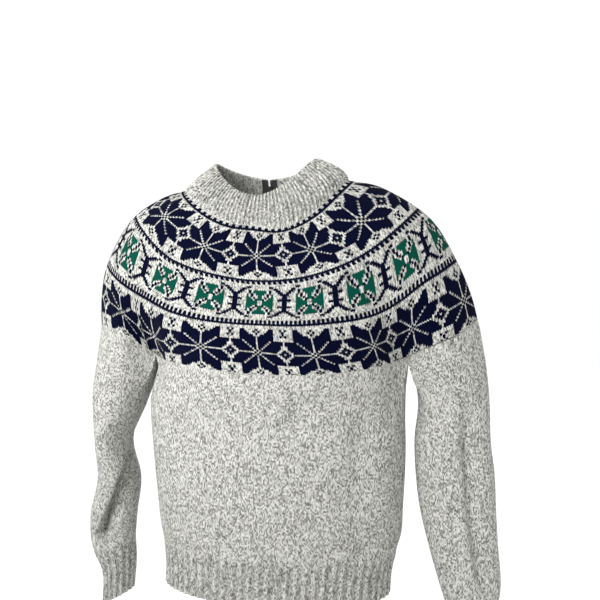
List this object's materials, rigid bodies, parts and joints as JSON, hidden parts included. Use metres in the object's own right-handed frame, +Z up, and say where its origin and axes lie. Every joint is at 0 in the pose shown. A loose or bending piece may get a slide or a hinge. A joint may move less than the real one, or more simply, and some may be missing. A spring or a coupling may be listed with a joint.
{
  "type": "fair isle jumper, filled out with no wearer",
  "caption": "Round-yoke knitted wool jumper with a star and cross patterned yoke, ribbed neckband with a back neck zip, ribbed hem and cuffs, filled out with nobody inside.",
  "frame": {"origin": "where the wearer's neck and shoulders hold the jumper up: on the middle plane of the body, at the height of the sides of the seam between neckband and yoke", "axes": "+X to the right of someone facing the front, -Y out of the front, +Z up"},
  "size_m": [0.6821, 0.241, 0.7768],
  "materials": {
    "marled_wool": "matt marled wool, knitted",
    "patterned_wool": "matt wool, knitted in navy, green and marled yarn",
    "woven_tape": "woven zip tape",
    "zip_metal": "polished zip metal"
  },
  "bodies": {
    "jumper": {"yoke": "patterned_wool", "body_front": "marled_wool", "body_back": "marled_wool", "sleeve_right": "marled_wool", "sleeve_left": "marled_wool", "neckband": "marled_wool", "hem_rib": "marled_wool", "cuff_right": "marled_wool", "cuff_left": "marled_wool", "zip_tape_right": "woven_tape", "zip_tape_left": "woven_tape", "zip_slider": "zip_metal"},
    "pull_tab": {"zip_pull": "zip_metal"}
  },
  "joints": [
    {"name": "pull_tab_hinge", "type": "hinge", "parent": "jumper", "child": "pull_tab", "pos_m": [-0.03355, 0.06229, 0.00148], "axis": [0.9993, 0.0195, 0.0321], "range_deg": [0, 150]}
  ]
}
